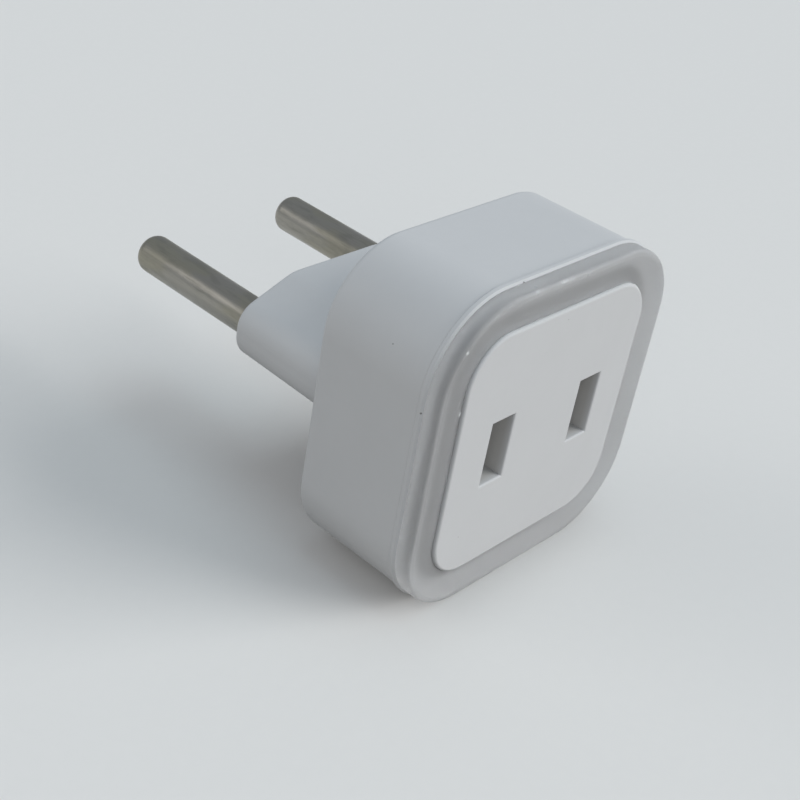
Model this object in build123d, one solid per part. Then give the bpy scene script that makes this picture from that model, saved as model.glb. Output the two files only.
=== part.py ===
"""Plug adapter: two flat blade slots in front, two round pins behind.

Millimetres.  The origin is the middle of the front face, X runs to the right seen from the front,
Y runs back towards the pin tips and Z is up.  A depth is a distance behind the front face.
"""

import os

from build123d import *

# Front plate with the two blade slots
face_side = 25.2
face_corner = 4.8
face_thickness = 1.5
face_edge_round = 0.3
face_overhang = 1.2
skirt_wall = 1.4
slot_pitch = 12.7
slot_width = 3.0
slot_height = 6.7
slot_edge_round = 0.2
tunnel_wall = 1.0
tunnel_depth = 4.0

# Milky rim between the front plate and the housing
rim_width = 3.3
rim_depth = 1.65
rim_crest_depth = 0.0
rim_crest_inset = 0.6
rim_edge_round = 0.3
rim_cove_depth = 0.3
rim_cove_sag = 0.08
rim_spigot = 1.5

# Rear housing with its neck
housing_depth = 12.5
housing_wall = 1.8
housing_back_wall = 1.8
housing_draft = 0.4
housing_back_round = 0.6
lip_proud = 0.2
lip_width = 0.7
lip_bevel = 0.18
rib_thickness = 1.2
rib_spacing = 11.0
neck_length = 13.8
neck_cheek = 1.5
neck_height = 10.2
neck_flat = 12.0
neck_side = 4.9
neck_flat_round = 5.0
neck_side_round = 3.0
neck_end_round = 0.6
neck_draft = 1.4
neck_wall = 1.3

# Round pins
pin_pitch = 19.0
pin_diameter = 4.0
pin_length = 16.85
pin_tip_round = 1.1
pin_stand = 1.2
root_step = 0.25
root_groove_depth = 0.35
root_groove_width = 1.2
root_groove_pitch = 2.6
tail_diameter = 2.0
rivet_diameter = 3.0
rivet_height = 0.7
rivet_bevel = 0.35

# Spring contacts, and the flat blade that they take
blade_thickness = 1.5
blade_length = 17.8
blade_end_room = 0.9
blade_edge_room = 0.6
strip_thickness = 0.6
leaf_height = 5.2
leaf_grip = 0.2
leaf_room = 0.3
mouth_room = 1.1
mouth_length = 1.8
spring_length = 2.0
bridge_length = 3.2
bend_radius = 0.7
tab_radius = 1.6

# Clearances
plate_gap = 0.06
spigot_gap = 0.1
joint_gap = 0.03
skirt_gap = 0.1
pin_gap = 0.02
tail_gap = 0.05
contact_gap = 0.4

# Depths that follow from the sizes above
back_depth = rim_depth + housing_depth
floor_depth = back_depth - housing_back_wall
neck_end_depth = back_depth + neck_length
pin_tip_depth = neck_end_depth + pin_length
tab_front_depth = blade_length + blade_end_room
shoulder_depth = tab_front_depth + strip_thickness
pocket_depth = shoulder_depth + pin_stand
spigot_end_depth = rim_depth + rim_spigot
contact_front_depth = tunnel_depth + contact_gap

# Half widths and corners, each outline being an even offset of the front plate's
face_half = face_side / 2
rim_inner_half = face_half + plate_gap
rim_outer_half = rim_inner_half + rim_width
mouth_half = rim_outer_half - housing_wall
skirt_half = face_half - face_overhang
slot_x = slot_pitch / 2
pin_x = pin_pitch / 2
pin_radius = pin_diameter / 2
neck_half = pin_x + pin_radius + neck_cheek


def depth_plane(depth):
    """A plane across the adapter that faces the pin tips."""
    return Plane((0, depth, 0), x_dir=(-1, 0, 0), z_dir=(0, 1, 0))


def rounded_square(half):
    """The front plate's outline, moved in or out to another half width."""
    corner = face_corner + half - face_half
    return RectangleRounded(2 * half, 2 * half, corner)


def prism(outline, front, back, taper=0):
    """An outline carried from one depth back to another, narrowing by the taper."""
    return extrude(depth_plane(front) * outline, amount=back - front, taper=taper)


def rim_edges(solid, depth):
    """The outer edges of the flat face at one depth."""
    face = solid.faces().filter_by(Axis.Y).sort_by(lambda f: abs(f.center().Y - depth))[0]
    return face.outer_wire().edges()


def both_sides(make):
    """A shape made on the right, with its mirror image on the left."""
    right = make()
    return right, mirror(right, about=Plane.YZ)


def neck_outline(inset):
    """A flattened octagon with soft corners, moved in by the inset."""
    top = neck_height / 2
    shoulder = neck_flat / 2
    end = neck_half
    low = neck_side / 2
    corners = [(end, low), (shoulder, top), (-shoulder, top), (-end, low)]
    corners += [(-x, -y) for x, y in corners]
    outline = Polygon(*corners, align=None)
    soft = outline.vertices().filter_by(lambda v: abs(v.X) < (shoulder + end) / 2)
    outline = fillet(soft, neck_flat_round)
    tight = outline.vertices().sort_by(lambda v: abs(v.X))[-4:]
    outline = fillet(tight, neck_side_round)
    return offset(outline, amount=-inset)


def slot_spots(depth):
    """The middles of the two blade slots at one depth."""
    return depth_plane(depth) * GridLocations(slot_pitch, 0, 2, 1)


def face_plate():
    """The front plate, with blade tunnels and a skirt that stands on the housing's floor."""
    head = prism(rounded_square(face_half), 0, face_thickness)
    head = fillet(rim_edges(head, 0), face_edge_round)
    skirt = prism(rounded_square(skirt_half), face_thickness, floor_depth)
    skirt -= prism(rounded_square(skirt_half - skirt_wall), face_thickness, floor_depth)
    plate = head + skirt
    tunnel = Rectangle(slot_width + 2 * tunnel_wall, slot_height + 2 * tunnel_wall)
    slot = Rectangle(slot_width, slot_height)
    for spot in slot_spots(face_thickness):
        plate += extrude(spot * tunnel, amount=tunnel_depth - face_thickness)
    for spot in slot_spots(0):
        plate -= extrude(spot * slot, amount=tunnel_depth)
    front = plate.faces().filter_by(Axis.Y).sort_by(Axis.Y)[0]
    mouths = [edge for wire in front.inner_wires() for edge in wire.edges()]
    return fillet(mouths, slot_edge_round)


def rim_section():
    """The rim's section on the right side, in the plane through the middle of the adapter."""
    bore = skirt_half + skirt_gap
    spigot = mouth_half - spigot_gap
    crest = rim_outer_half - rim_crest_inset
    seat = face_thickness
    back = rim_depth - joint_gap
    outer = [
        (bore, spigot_end_depth),
        (bore, seat),
        (rim_inner_half, seat),
        (rim_inner_half, rim_cove_depth),
    ]
    middle = ((rim_inner_half + crest) / 2, (rim_cove_depth + rim_crest_depth) / 2 + rim_cove_sag)
    cove = ThreePointArc(outer[-1], middle, (crest, rim_crest_depth))
    brow = [(crest, rim_crest_depth), (rim_outer_half - rim_edge_round, rim_crest_depth)]
    turn = RadiusArc(brow[-1], (rim_outer_half, rim_crest_depth + rim_edge_round), -rim_edge_round)
    rear = [
        (rim_outer_half, rim_crest_depth + rim_edge_round),
        (rim_outer_half, back),
        (spigot, back),
        (spigot, spigot_end_depth),
        outer[0],
    ]
    lines = Polyline(*outer) + cove + Polyline(*brow) + turn + Polyline(*rear)
    return make_face(lines)


def rim_ring():
    """The milky rim: one section carried along the sides and turned about the corners."""
    section = rim_section()
    straight = face_half - face_corner
    side = extrude(section, amount=straight, both=True)
    corner_axis = Axis((straight, 0, straight), (0, 1, 0))
    corner = revolve(Pos(0, 0, straight) * section, axis=corner_axis, revolution_arc=-90)
    quarters = [Rot(0, 90 * turn, 0) * piece for turn in range(4) for piece in (side, corner)]
    ring = quarters[0].fuse(*quarters[1:])
    return ring.clean()


def housing_ribs():
    """Ribs from the housing's floor that carry the rim's spigot and guide the plate's skirt."""
    inner = skirt_half + skirt_gap
    length = mouth_half - inner
    rib = Pos((inner + mouth_half) / 2, 0) * Rectangle(length, rib_thickness)
    rib = Pos(0, rib_spacing / 2) * rib + Pos(0, -rib_spacing / 2) * rib
    one_side = prism(rib, spigot_end_depth, floor_depth)
    return [Rot(0, 90 * turn, 0) * one_side for turn in range(4)]


def rear_housing():
    """The housing's box and neck in one moulding, open in front, bored for the pins."""
    box = prism(rounded_square(rim_outer_half), rim_depth, back_depth, taper=housing_draft)
    box = fillet(rim_edges(box, back_depth), housing_back_round)
    lip = prism(rounded_square(rim_outer_half + lip_proud), rim_depth, rim_depth + lip_width)
    lip = chamfer(rim_edges(lip, rim_depth) + rim_edges(lip, rim_depth + lip_width), lip_bevel)
    neck = prism(neck_outline(0), back_depth, neck_end_depth, taper=neck_draft)
    neck = fillet(rim_edges(neck, neck_end_depth), neck_end_round)
    housing = box + lip + neck
    housing -= prism(rounded_square(mouth_half), rim_depth, floor_depth)
    housing -= prism(neck_outline(neck_wall), floor_depth, pocket_depth, taper=neck_draft)
    housing = housing.fuse(*housing_ribs())
    for bore in both_sides(lambda: pin_root(pin_gap)):
        housing -= bore
    return housing.clean()


def pin_root(growth):
    """The thinner, grooved root that the neck is moulded round, grown all over by a clearance."""
    radius = pin_radius - root_step + growth
    root = prism(Pos(-pin_x, 0) * Circle(radius), shoulder_depth, neck_end_depth)
    middle = (pocket_depth + neck_end_depth) / 2
    groove = Pos(-pin_x, 0) * (Circle(radius) - Circle(radius - root_groove_depth))
    width = root_groove_width - 2 * growth
    for step in (-0.5, 0.5):
        front = middle + step * root_groove_pitch - width / 2
        root -= prism(groove, front, front + width)
    return root


def pin():
    """The right pin: shaft on the neck's end, root, tail through the contact's tab, and rivet head."""
    shaft = prism(Pos(-pin_x, 0) * Circle(pin_radius), neck_end_depth, pin_tip_depth)
    shaft = fillet(rim_edges(shaft, pin_tip_depth), pin_tip_round)
    tail = prism(Pos(-pin_x, 0) * Circle(tail_diameter / 2), tab_front_depth, shoulder_depth)
    head_front = tab_front_depth - rivet_height
    rivet = prism(Pos(-pin_x, 0) * Circle(rivet_diameter / 2), head_front, tab_front_depth)
    rivet = chamfer(rim_edges(rivet, head_front), rivet_bevel)
    return shaft + pin_root(0) + tail + rivet


def leaf_gap_half(room):
    """Distance from the blade's middle plane to a leaf's middle, for a given room beside the blade."""
    return (blade_thickness + room + strip_thickness) / 2


def leaf(side, end_depth):
    """One spring leaf seen from above: flared mouth, pinch, then straight back to its end."""
    pinch_depth = contact_front_depth + mouth_length
    straight_depth = pinch_depth + spring_length
    points = [
        (slot_x + side * leaf_gap_half(mouth_room), contact_front_depth),
        (slot_x + side * leaf_gap_half(-leaf_grip), pinch_depth),
        (slot_x + side * leaf_gap_half(leaf_room), straight_depth),
        (slot_x + side * leaf_gap_half(leaf_room), end_depth),
    ]
    strip = trace(Polyline(*points), line_width=strip_thickness)
    return extrude(strip, amount=leaf_height / 2, both=True)


def contact_bridge():
    """The fold over the blade's upper edge that joins the two leaves."""
    half = leaf_gap_half(leaf_room)
    top = slot_height / 2 + blade_edge_room + strip_thickness / 2
    front = contact_front_depth + mouth_length + spring_length
    points = [(-slot_x - half, 0), (-slot_x - half, top), (-slot_x + half, top), (-slot_x + half, 0)]
    fold = trace(FilletPolyline(*points, radius=bend_radius), line_width=strip_thickness)
    return prism(fold, front, front + bridge_length)


def contact_tab():
    """The inner leaf's end, bent outwards past the blade's tip and holed for the pin's tail."""
    x = slot_x - leaf_gap_half(leaf_room)
    middle = tab_front_depth + strip_thickness / 2
    points = [(x, tab_front_depth - 2 * bend_radius), (x, middle), (pin_x, middle)]
    bend = trace(FilletPolyline(*points, radius=bend_radius), line_width=strip_thickness)
    eye = Pos(-pin_x, 0) * Circle(tab_radius)
    hole = Pos(-pin_x, 0) * Circle(tail_diameter / 2 + tail_gap)
    tab = extrude(bend, amount=tab_radius, both=True) + prism(eye, tab_front_depth, shoulder_depth)
    return tab - prism(hole, tab_front_depth, shoulder_depth)


def contact():
    """The right contact: two spring leaves round the blade, a bridge over it and a tab on the pin."""
    inner = leaf(-1, tab_front_depth - bend_radius)
    outer = leaf(1, tab_front_depth - rivet_height - contact_gap)
    return (inner + outer + contact_bridge() + contact_tab()).clean()


right_pin, left_pin = both_sides(pin)
right_contact, left_contact = both_sides(contact)
nodes = {
    "rear_housing": rear_housing(),
    "rim_ring": rim_ring(),
    "face_plate": face_plate(),
    "left_pin": left_pin,
    "right_pin": right_pin,
    "left_contact": left_contact,
    "right_contact": right_contact,
}

os.makedirs("parts", exist_ok=True)
for name, solid in nodes.items():
    export_step(solid, f"parts/{name}.step")
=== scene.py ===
"""Plug adapter: finishes, stage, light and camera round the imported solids.  Metres, +Z up."""

import math

import bpy
from bpy.props import FloatProperty, FloatVectorProperty, PointerProperty
from mathutils import Euler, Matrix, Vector


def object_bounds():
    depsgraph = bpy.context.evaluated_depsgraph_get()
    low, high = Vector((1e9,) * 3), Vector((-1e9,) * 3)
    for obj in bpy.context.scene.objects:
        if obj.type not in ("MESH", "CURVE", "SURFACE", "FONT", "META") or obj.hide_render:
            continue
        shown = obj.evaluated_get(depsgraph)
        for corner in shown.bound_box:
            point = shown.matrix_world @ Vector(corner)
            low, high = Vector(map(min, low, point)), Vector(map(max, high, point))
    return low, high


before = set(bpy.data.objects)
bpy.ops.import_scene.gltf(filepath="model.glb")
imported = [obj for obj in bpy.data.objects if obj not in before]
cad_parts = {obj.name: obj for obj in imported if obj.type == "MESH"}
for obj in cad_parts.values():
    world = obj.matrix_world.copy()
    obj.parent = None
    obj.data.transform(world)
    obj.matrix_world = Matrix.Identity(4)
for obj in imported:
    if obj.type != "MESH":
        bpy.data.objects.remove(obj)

bl_info = {
    "name": "Plug adapter",
    "version": (1, 0, 0),
    "blender": (4, 5, 0),
    "location": "View3D > Sidebar > Adapter",
    "description": "Finishes, stage and light for a two-pin plug adapter",
    "category": "Object",
}

CAD_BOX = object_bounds()
MM = 0.001
PER_MM = 1000.0

# Small marks, each with its place and its radius in mm: dark specks of wear, and pale spots on the rim that
# are partly nicks and partly painted glints
DARK_SPECKS = (
    ((-16.1, 1.8, 6.6), 0.13),
    ((-15.4, 6.5, 10.6), 0.09),
    ((-5.7, 1.6, 16.0), 0.18),
    ((0.0, 0.0, 11.5), 0.06),
    ((-9.4, 0.0, -8.3), 0.06),
)
PALE_NICKS_AND_GLINTS = (
    ((-12.7, 0.3, 6.1), 0.27),
    ((-13.9, 0.0, 12.6), 0.23),
    ((-10.9, 0.0, 15.0), 0.20),
    ((-5.7, 0.1, 15.9), 0.28),
    ((-5.7, 0.0, 15.7), 0.20),
    ((-5.4, 0.6, 16.0), 0.24),
    ((-2.3, 0.1, 15.8), 0.20),
    ((-1.9, 0.0, 15.8), 0.32),
    ((-0.9, 0.0, 15.7), 0.28),
    ((1.3, 0.0, 15.5), 0.20),
)
PIN_DENT = ((7.7, 37.7, 1.0), 1.1)
SPECK_STRENGTH = 0.75
NICK_AND_GLINT_STRENGTH = 0.9
# The share of a mark's radius that it covers wholly
MARK_CORE = 0.5

# Where a finish begins to change and where it has changed wholly, in mm behind the front face
# Painted shade: inside the slots the plate darkens towards a brownish colour between these depths
PAINTED_SLOT_SHADE_FROM_TO = (0.10, 0.90)
RUBBED_FROM_TO = (33.0, 42.0)

# How streaks are drawn out: noise scales across, along and up
FINE_STREAKS = (4.2, 0.12, 4.2)
BROAD_STREAKS = (0.55, 0.16, 0.55)
STRIP_STREAKS = (4.0, 0.2, 4.0)

# Noise values at which a finish of the pins begins to show and shows wholly
WORN_FROM_TO = (0.42, 0.60)
SMEAR_FROM_TO = (0.50, 0.68)
STREAK_FROM_TO = (0.50, 0.72)

# How far each of those finishes changes the pins' colour and roughness
WORN_SHARE = 0.6
SMEAR_SHARE = 0.35
STREAK_SHARE = 0.3
WORN_ROUGHER = 0.08
RUBBED_ROUGHER = 0.04

# Share of the plastic's mottle that is in small clouds
CLOUD_SHARE = 0.3

# The Mix node's colour sockets go by number, because their names repeat
MIX_FACTOR = 0
MIX_FIRST = 6
MIX_SECOND = 7
MIX_RESULT = 2

SENSOR_MM = 36.0
NEAREST_SEEN = 0.005
FARTHEST_SEEN = 20.0
LIGHTS = ("key", "top", "fill", "side", "glint")
# Broad lights that no glossy surface mirrors, since they would glare on plastic seen at a low angle
UNMIRRORED_LIGHTS = ("key", "side")


class Wire:
    """A node's output socket that takes part in arithmetic through Math nodes."""

    def __init__(self, board, socket):
        self.board = board
        self.socket = socket

    def maths(self, operation, first, second):
        return self.board.node("ShaderNodeMath", {"operation": operation}, {0: first, 1: second})

    def __add__(self, other):
        return self.maths("ADD", self, other)

    def __radd__(self, other):
        return self.maths("ADD", other, self)

    def __sub__(self, other):
        return self.maths("SUBTRACT", self, other)

    def __rsub__(self, other):
        return self.maths("SUBTRACT", other, self)

    def __mul__(self, other):
        return self.maths("MULTIPLY", self, other)

    def __rmul__(self, other):
        return self.maths("MULTIPLY", other, self)

    def ramp(self, low, high):
        """0 at low, 1 at high, eased between them; low may be the larger."""
        least, most = sorted((low, high))
        settings = {"interpolation_type": "SMOOTHSTEP"}
        sockets = {"Value": self, "From Min": least, "From Max": most}
        eased = self.board.node("ShaderNodeMapRange", settings, sockets)
        return 1 - eased if low > high else eased

    def sway(self, swing):
        """Noise laid evenly about zero, as wide as the swing."""
        return (self - 0.5) * swing


class Board:
    """A node tree that is wired by one method."""

    def __init__(self, tree):
        self.tree = tree
        self.tree.nodes.clear()

    def node(self, kind, settings=None, sockets=None, out=0):
        """A node of a kind, its settings made first, then the values or links of its sockets."""
        made = self.tree.nodes.new(kind)
        for name, value in (settings or {}).items():
            setattr(made, name, value)
        for name, value in (sockets or {}).items():
            if isinstance(value, Wire):
                self.tree.links.new(value.socket, made.inputs[name])
            else:
                made.inputs[name].default_value = value
        return Wire(self, made.outputs[out]) if len(made.outputs) else None

    def scaled(self, vector, level):
        """A vector made longer or shorter, or a colour made lighter or darker."""
        return self.node("ShaderNodeVectorMath", {"operation": "SCALE"}, {0: vector, "Scale": level})

    def place_mm(self):
        """The point on the piece, in millimetres in the adapter's own frame."""
        return self.scaled(self.node("ShaderNodeTexCoord", out="Object"), PER_MM)

    def behind_face(self, place):
        """How far a place lies behind the front face."""
        return self.node("ShaderNodeSeparateXYZ", None, {0: place}, "Y")

    def stretched(self, place, scales):
        """A place with its own scale along each axis."""
        return self.node("ShaderNodeMapping", None, {"Vector": place, "Scale": scales})

    def noise(self, place, scale, detail=2.0, roughness=0.5):
        sockets = {"Vector": place, "Scale": scale, "Detail": detail, "Roughness": roughness}
        return self.node("ShaderNodeTexNoise", None, sockets)

    def blend(self, factor, first, second):
        """A colour between two."""
        settings = {"data_type": "RGBA", "blend_type": "MIX", "clamp_factor": True}
        sockets = {MIX_FACTOR: factor, MIX_FIRST: first, MIX_SECOND: second}
        return self.node("ShaderNodeMix", settings, sockets, MIX_RESULT)

    def bump(self, height, height_mm, strength, normal=None):
        """A normal raised by a height that runs from 0 to 1, on top of another normal if one is given."""
        sockets = {"Height": height, "Distance": height_mm * MM, "Strength": strength}
        if normal is not None:
            sockets["Normal"] = normal
        return self.node("ShaderNodeBump", None, sockets)

    def marks(self, place, spots):
        """1 on small round marks, 0 elsewhere."""
        mask = 0
        for centre, radius in spots:
            ends = {0: place, 1: centre}
            away = self.node("ShaderNodeVectorMath", {"operation": "DISTANCE"}, ends, "Value")
            mask = away.ramp(radius, radius * MARK_CORE) + mask
        return mask

    def principled(self, sockets):
        return self.node("ShaderNodeBsdfPrincipled", None, sockets)

    def mixed(self, factor, first, second):
        """A shader between two."""
        return self.node("ShaderNodeMixShader", None, {0: factor, 1: first, 2: second})

    def finish(self, shader):
        """Makes a shader the material's surface."""
        self.node("ShaderNodeOutputMaterial", None, {"Surface": shader})


def rgba(colour):
    """A colour with full alpha, for sockets that hold four numbers."""
    return (*colour, 1.0)


def colour_prop(label, about, default):
    return FloatVectorProperty(
        name=label, description=about, default=default, size=3, subtype="COLOR", min=0.0, max=1.0
    )


def share_prop(label, about, default):
    return FloatProperty(name=label, description=about, default=default, subtype="FACTOR", min=0.0, max=1.0)


def length_prop(label, about, default):
    return FloatProperty(name=label, description=about, default=default, unit="LENGTH", subtype="DISTANCE")


def aim_prop(label, about, default):
    return FloatVectorProperty(name=label, description=about, default=default, size=3, subtype="DIRECTION")


def angle_prop(label, about, default):
    return FloatProperty(
        name=label, description=about, default=default, min=0.0, unit="ROTATION", subtype="ANGLE"
    )


def plain_prop(label, about, default, least=0.0):
    return FloatProperty(name=label, description=about, default=default, min=least)


class ShellFinish(bpy.types.PropertyGroup):
    """White moulded plastic of the housing and the front plate."""

    colour: colour_prop("Plastic", "Colour of the white plastic", (0.560, 0.566, 0.575))
    gloss: share_prop("Roughness", "Roughness of the satin mould finish", 0.42)
    mottle: share_prop("Mottle", "How far the colour drifts over the moulding", 0.05)
    grain_mm: plain_prop("Grain", "Size of the mould's grain in mm", 0.22, least=0.01)
    speck_colour: colour_prop("Specks", "Colour of the few dark specks", (0.09, 0.085, 0.08))
    # The next two settings paint shade into the slot walls: its brownish dark colour and how strongly it
    # covers
    painted_slot_shade_colour: colour_prop("Grime", "Colour of the film inside the slots", (0.30, 0.28, 0.24))
    painted_slot_shade: share_prop("Slot grime", "How thick the film inside the slots is", 0.35)


class RimFinish(bpy.types.PropertyGroup):
    """Milky rim between the front plate and the housing."""

    colour: colour_prop("Milk", "Colour of the milky plastic", (0.66, 0.664, 0.672))
    shade: colour_prop("Shade", "Colour of the light that passes one face of the rim", (0.74, 0.745, 0.75))
    # The pale nicks are partly painted glints
    nick_and_glint: colour_prop("Nicks", "Colour of the small pale nicks", (0.62, 0.63, 0.64))
    clear: share_prop("Clear", "How much of the rim is seen through", 0.66)
    depth: length_prop("Milk depth", "How far light spreads inside the rim", 1.2 * MM)
    gloss: share_prop("Roughness", "Roughness of the rim", 0.66)


class PinFinish(bpy.types.PropertyGroup):
    """Dull nickel plate of the round pins."""

    colour: colour_prop("Nickel", "Colour of the plate", (0.385, 0.365, 0.325))
    worn: colour_prop("Worn", "Colour where the plate has worn thin", (0.37, 0.345, 0.265))
    tarnish: colour_prop("Tarnish", "Colour of the darker streaks", (0.26, 0.25, 0.215))
    gloss: share_prop("Roughness", "Roughness of the worn plate", 0.315)


class ContactFinish(bpy.types.PropertyGroup):
    """Brass strip of the spring contacts."""

    colour: colour_prop("Brass", "Colour of the strip", (0.62, 0.44, 0.18))
    gloss: share_prop("Roughness", "Roughness of the rolled strip", 0.32)


class StageSettings(bpy.types.PropertyGroup):
    """Floor, light and camera."""

    floor_colour: colour_prop("Floor", "Colour of the floor as it is seen", (0.73, 0.72, 0.705))
    floor_bounce: colour_prop("Floor bounce", "Colour that the floor throws back", (0.32, 0.305, 0.28))
    floor_reach: length_prop("Floor reach", "Distance from the middle of the floor to its edge", 3.0)
    sky_colour: colour_prop("Sky", "Colour of the light from all round", (0.335, 0.362, 0.396))
    key_aim: aim_prop("Key aim", "Where the main light comes from: right front", (0.579, -0.679, 0.451))
    key_spread: angle_prop("Key spread", "How wide the main light is", 0.75)
    key_strength: plain_prop("Key strength", "Strength of the main light", 2.33)
    key_colour: colour_prop("Key colour", "Colour of the main light", (1.0, 0.99, 0.97))
    top_aim: aim_prop("Top aim", "Where the upper light comes from", (0.099, -0.099, 0.990))
    top_spread: angle_prop("Top spread", "How wide the upper light is", 0.65)
    top_strength: plain_prop("Top strength", "Strength of the upper light", 0.48)
    top_colour: colour_prop("Top colour", "Colour of the upper light", (0.70, 0.90, 1.0))
    fill_aim: aim_prop("Fill aim", "Where the fill light comes from: left front", (-0.702, -0.602, 0.381))
    fill_spread: angle_prop("Fill spread", "How wide the fill light is", 0.75)
    fill_strength: plain_prop("Fill strength", "Strength of the fill light", 0.38)
    fill_colour: colour_prop("Fill colour", "Colour of the fill light", (1.0, 0.985, 0.96))
    side_aim: aim_prop("Side aim", "Where the side light comes from: left behind", (-0.665, 0.641, 0.384))
    side_spread: angle_prop("Side spread", "How wide the side light is", 0.80)
    side_strength: plain_prop("Side strength", "Strength of the side light", 0.44)
    side_colour: colour_prop("Side colour", "Colour of the side light", (1.0, 0.98, 0.94))
    glint_aim: aim_prop("Glint aim", "Where the glint on the pins comes from", (-0.665, 0.641, 0.384))
    glint_spread: angle_prop("Glint spread", "How wide the glint light is", 0.42)
    glint_strength: plain_prop("Glint strength", "Strength of the glint light", 0.11)
    glint_colour: colour_prop("Glint colour", "Colour of the glint light", (1.0, 0.98, 0.94))
    camera_place: FloatVectorProperty(
        name="Camera place",
        description="Where the camera stands",
        default=(-0.0976, -0.0587, 0.0712),
        subtype="XYZ",
        unit="LENGTH",
    )
    camera_turn: FloatVectorProperty(
        name="Camera turn",
        description="The camera's turn",
        default=tuple(math.radians(angle) for angle in (57.44, -8.94, -46.68)),
        subtype="EULER",
        unit="ROTATION",
    )
    lens: plain_prop("Lens", "Focal length on a 36 mm sensor, in mm", 66.0, least=1.0)


def dress(names, material):
    """Gives CAD nodes a finish."""
    for name in names:
        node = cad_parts.get(name)
        if node is None:
            raise RuntimeError(f"the frame has no node {name}")
        node.data.materials.clear()
        node.data.materials.append(material)


def new_material(name):
    """A material and the empty board of its nodes."""
    material = bpy.data.materials.new(name)
    material.use_nodes = True
    return material, Board(material.node_tree)


def plastic_material(finish, name, painted_slot_shade=0.0):
    """White satin plastic: slow mottle, mould grain, a few dark specks and painted shade in the slots."""
    material, board = new_material(name)
    place = board.place_mm()
    drift = board.noise(place, scale=0.16, detail=3.0)
    cloud = board.noise(place, scale=1.3)
    level = 1 + (drift.sway(1.0) + cloud.sway(CLOUD_SHARE)) * finish.mottle
    colour = board.scaled(tuple(finish.colour), level)
    # Painted shade: behind the front face, inside the slots, the plate is darkened towards a brownish colour
    film = board.behind_face(place).ramp(*PAINTED_SLOT_SHADE_FROM_TO) * painted_slot_shade
    colour = board.blend(film, colour, rgba(finish.painted_slot_shade_colour))
    specks = board.marks(place, DARK_SPECKS) * SPECK_STRENGTH
    colour = board.blend(specks, colour, rgba(finish.speck_colour))
    wave = board.noise(place, scale=0.35, detail=1.0)
    grain = board.noise(place, scale=1 / finish.grain_mm)
    normal = board.bump(wave, height_mm=0.02, strength=0.35)
    normal = board.bump(grain, height_mm=0.006, strength=0.35, normal=normal)
    sheen = board.noise(place, scale=0.6)
    board.finish(board.principled({
        "Base Color": colour,
        "Roughness": finish.gloss + sheen.sway(0.14),
        "Normal": normal,
        "IOR": 1.5,
        "Specular IOR Level": 0.4,
    }))
    return material


def rim_material(finish):
    """Milky plastic that shows the housing's edge and the plate's side through itself.

    Light on its way to what lies behind the rim passes it as it would a tinted film.
    """
    material, board = new_material("milky_plastic")
    place = board.place_mm()
    cloud = board.noise(place, scale=0.5)
    wave = board.noise(place, scale=0.9)
    milk = board.principled({
        "Base Color": board.scaled(tuple(finish.colour), 1 + cloud.sway(0.04)),
        "Roughness": finish.gloss,
        "Normal": board.bump(wave, height_mm=0.03, strength=0.2),
        "IOR": 1.30,
        "Transmission Weight": finish.clear,
        "Subsurface Weight": 1.0,
        "Subsurface Radius": (1.0, 1.0, 1.0),
        "Subsurface Scale": finish.depth,
    })
    # Pale opaque spots mixed into the rim: small nicks and, in part, painted glints
    nick_and_glint = board.principled({
        "Base Color": board.scaled(tuple(finish.nick_and_glint), 1 + cloud.sway(0.2)),
        "Roughness": 0.35,
    })
    surface = board.mixed(board.marks(place, PALE_NICKS_AND_GLINTS) * NICK_AND_GLINT_STRENGTH, milk, nick_and_glint)
    film = board.node("ShaderNodeBsdfTransparent", None, {"Color": rgba(finish.shade)})
    for ray in ("Is Diffuse Ray", "Is Shadow Ray"):
        passing = board.node("ShaderNodeLightPath", out=ray)
        surface = board.mixed(passing, surface, film)
    board.finish(surface)
    return material


def pin_material(finish):
    """Dull nickel: brushed along the pin, olive where worn thin, dark in streaks, rubbed at the tip."""
    material, board = new_material("plated_pin")
    place = board.place_mm()
    streak = board.noise(board.stretched(place, FINE_STREAKS), scale=1.6, detail=4.0, roughness=0.6)
    broad = board.stretched(place, BROAD_STREAKS)
    worn = board.noise(broad, scale=1.0, detail=3.0).ramp(*WORN_FROM_TO)
    smear = board.noise(broad, scale=2.3, detail=3.0).ramp(*SMEAR_FROM_TO)
    rubbed = board.behind_face(place).ramp(*RUBBED_FROM_TO)
    colour = board.blend(worn * WORN_SHARE, rgba(finish.colour), rgba(finish.worn))
    dark = smear * SMEAR_SHARE + streak.ramp(*STREAK_FROM_TO) * STREAK_SHARE
    colour = board.blend(dark, colour, rgba(finish.tarnish))
    dent = board.marks(place, (PIN_DENT,))
    normal = board.bump(streak, height_mm=0.008, strength=0.35)
    normal = board.bump(1 - dent, height_mm=0.03, strength=0.5, normal=normal)
    rougher = streak.sway(0.25) + worn * WORN_ROUGHER + rubbed * RUBBED_ROUGHER
    board.finish(board.principled({
        "Base Color": colour,
        "Metallic": 1.0,
        "Roughness": finish.gloss + rougher,
        "Normal": normal,
    }))
    return material


def contact_material(finish):
    """Rolled brass strip."""
    material, board = new_material("contact_brass")
    place = board.place_mm()
    streak = board.noise(board.stretched(place, STRIP_STREAKS), scale=2.0, detail=3.0)
    board.finish(board.principled({
        "Base Color": board.scaled(tuple(finish.colour), 1 + streak.sway(0.3)),
        "Metallic": 1.0,
        "Roughness": finish.gloss + streak.sway(0.2),
        "Normal": board.bump(streak, height_mm=0.01, strength=0.3),
    }))
    return material


class ADAPTER_OT_shell(bpy.types.Operator):
    """Finish the rear housing"""

    bl_idname = "adapter.shell"
    bl_label = "Rear housing"

    def execute(self, context):
        finish = context.scene.adapter_shell
        dress(["rear_housing"], plastic_material(finish, "housing_plastic"))
        return {"FINISHED"}


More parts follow.
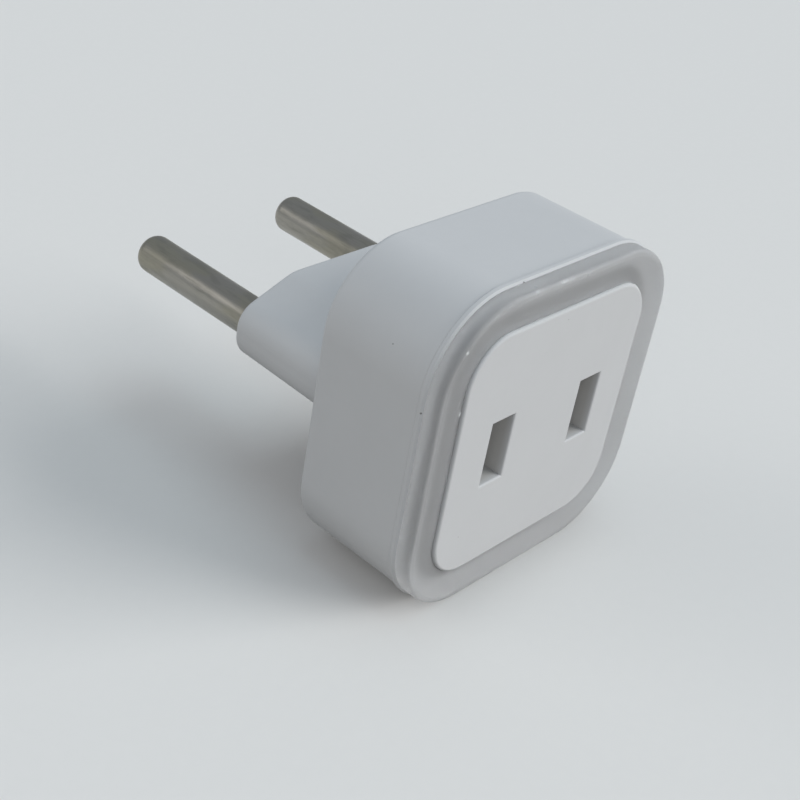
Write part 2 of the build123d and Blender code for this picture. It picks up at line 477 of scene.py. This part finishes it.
class ADAPTER_OT_plate(bpy.types.Operator):
    """Finish the front plate"""

    bl_idname = "adapter.plate"
    bl_label = "Front plate"

    def execute(self, context):
        finish = context.scene.adapter_shell
        # The front plate carries the painted shade inside its slots
        dress(["face_plate"], plastic_material(finish, "plate_plastic", finish.painted_slot_shade))
        return {"FINISHED"}


class ADAPTER_OT_rim(bpy.types.Operator):
    """Finish the milky rim"""

    bl_idname = "adapter.rim"
    bl_label = "Rim"

    def execute(self, context):
        dress(["rim_ring"], rim_material(context.scene.adapter_rim))
        return {"FINISHED"}


class ADAPTER_OT_pins(bpy.types.Operator):
    """Finish the round pins"""

    bl_idname = "adapter.pins"
    bl_label = "Pins"

    def execute(self, context):
        dress(["left_pin", "right_pin"], pin_material(context.scene.adapter_pins))
        return {"FINISHED"}


class ADAPTER_OT_contacts(bpy.types.Operator):
    """Finish the spring contacts"""

    bl_idname = "adapter.contacts"
    bl_label = "Contacts"

    def execute(self, context):
        brass = contact_material(context.scene.adapter_contacts)
        dress(["left_contact", "right_contact"], brass)
        return {"FINISHED"}


def floor_material(stage):
    """Pale paper that throws back less light than its colour shows."""
    material, board = new_material("floor_paper")
    fibre = board.noise(board.place_mm(), scale=0.8, detail=4.0)
    bounce = board.node("ShaderNodeLightPath", out="Is Diffuse Ray")
    paper = board.blend(bounce, rgba(stage.floor_colour), rgba(stage.floor_bounce))
    board.finish(board.principled({
        "Base Color": board.scaled(paper, 1 + fibre.sway(0.02)),
        "Roughness": 0.8,
        "Specular IOR Level": 0.2,
    }))
    return material


def make_floor(stage):
    """A square floor at the adapter's lowest point."""
    reach = stage.floor_reach
    level = CAD_BOX[0].z
    mesh = bpy.data.meshes.new("floor")
    corners = [(-reach, -reach, level), (reach, -reach, level), (reach, reach, level), (-reach, reach, level)]
    mesh.from_pydata(corners, [], [(0, 1, 2, 3)])
    floor = bpy.data.objects.new("floor", mesh)
    bpy.context.scene.collection.objects.link(floor)
    mesh.materials.append(floor_material(stage))


def make_sky(stage):
    """Even light from all round."""
    world = bpy.data.worlds.new("soft_sky")
    world.use_nodes = True
    board = Board(world.node_tree)
    sky = board.node("ShaderNodeBackground", None, {"Color": rgba(stage.sky_colour)})
    board.node("ShaderNodeOutputWorld", None, {"Surface": sky})
    bpy.context.scene.world = world


def make_light(stage, name):
    """Soft light from far away, so that the floor is lit evenly."""
    data = bpy.data.lights.new(f"{name}_light", "SUN")
    data.angle = getattr(stage, f"{name}_spread")
    data.energy = getattr(stage, f"{name}_strength")
    data.color = getattr(stage, f"{name}_colour")
    light = bpy.data.objects.new(data.name, data)
    light.location = Vector(getattr(stage, f"{name}_aim"))
    light.rotation_euler = light.location.to_track_quat("Z", "Y").to_euler()
    light.visible_glossy = name not in UNMIRRORED_LIGHTS
    bpy.context.scene.collection.objects.link(light)


def make_camera(stage):
    """The camera at the photograph's viewing angle."""
    data = bpy.data.cameras.new("camera")
    data.lens = stage.lens
    data.sensor_width = SENSOR_MM
    data.clip_start = NEAREST_SEEN
    data.clip_end = FARTHEST_SEEN
    camera = bpy.data.objects.new("camera", data)
    camera.location = stage.camera_place
    camera.rotation_euler = Euler(stage.camera_turn, "XYZ")
    bpy.context.scene.collection.objects.link(camera)
    bpy.context.scene.camera = camera


class ADAPTER_OT_stage(bpy.types.Operator):
    """Set the floor, the light and the camera"""

    bl_idname = "adapter.stage"
    bl_label = "Stage"

    def execute(self, context):
        stage = context.scene.adapter_stage
        make_floor(stage)
        make_sky(stage)
        for name in LIGHTS:
            make_light(stage, name)
        make_camera(stage)
        context.scene.view_settings.view_transform = "Standard"
        return {"FINISHED"}


class ADAPTER_PT_panel(bpy.types.Panel):
    """Lists the adapter's pieces"""

    bl_idname = "ADAPTER_PT_panel"
    bl_label = "Plug adapter"
    bl_space_type = "VIEW_3D"
    bl_region_type = "UI"
    bl_category = "Adapter"

    def draw(self, context):
        for piece in OPERATORS:
            self.layout.operator(piece.bl_idname)


OPERATORS = (
    ADAPTER_OT_shell,
    ADAPTER_OT_plate,
    ADAPTER_OT_rim,
    ADAPTER_OT_pins,
    ADAPTER_OT_contacts,
    ADAPTER_OT_stage,
)
SETTINGS = {
    "adapter_shell": ShellFinish,
    "adapter_rim": RimFinish,
    "adapter_pins": PinFinish,
    "adapter_contacts": ContactFinish,
    "adapter_stage": StageSettings,
}


def register():
    for name, group in SETTINGS.items():
        bpy.utils.register_class(group)
        setattr(bpy.types.Scene, name, PointerProperty(type=group))
    for piece in (*OPERATORS, ADAPTER_PT_panel):
        bpy.utils.register_class(piece)


def unregister():
    for piece in (ADAPTER_PT_panel, *reversed(OPERATORS)):
        bpy.utils.unregister_class(piece)
    for name, group in SETTINGS.items():
        delattr(bpy.types.Scene, name)
        bpy.utils.unregister_class(group)


def main():
    register()
    bpy.ops.adapter.shell()
    bpy.ops.adapter.plate()
    bpy.ops.adapter.rim()
    bpy.ops.adapter.pins()
    bpy.ops.adapter.contacts()
    bpy.ops.adapter.stage()


if __name__ == "__main__":
    main()
